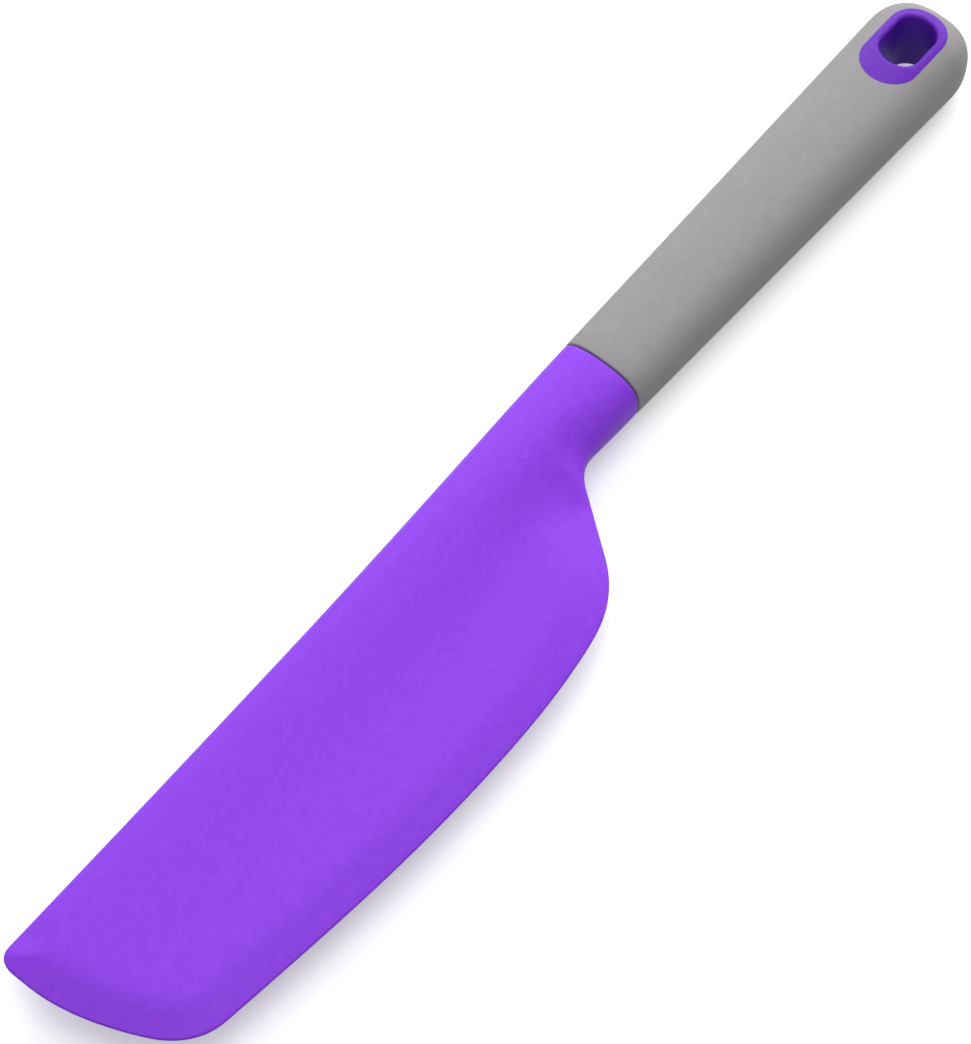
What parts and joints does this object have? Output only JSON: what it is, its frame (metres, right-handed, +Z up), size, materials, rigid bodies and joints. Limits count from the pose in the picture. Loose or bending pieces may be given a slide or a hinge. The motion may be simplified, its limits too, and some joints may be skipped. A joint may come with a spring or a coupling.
{
  "type": "silicone spatula",
  "caption": "Knife-shaped silicone spatula with a stiff core inside the blade and a soft-grip handle with a hang hole.",
  "frame": {"origin": "under the middle of the spatula, on the surface that it lies on", "axes": "+X from the blade's tip to the butt of the handle, +Y towards the straight spine, +Z up"},
  "size_m": [0.3306, 0.0592, 0.0213],
  "materials": {
    "silicone": "violet silicone, moulded, satin",
    "core_nylon": "natural nylon, moulded, hidden",
    "handle_plastic": "violet polypropylene, moulded, satin",
    "soft_grip": "grey soft-touch rubber, matt"
  },
  "bodies": {
    "root": {"silicone_blade": "silicone", "blade_core": "core_nylon", "handle_core": "handle_plastic", "grip_sleeve": "soft_grip"}
  },
  "joints": []
}
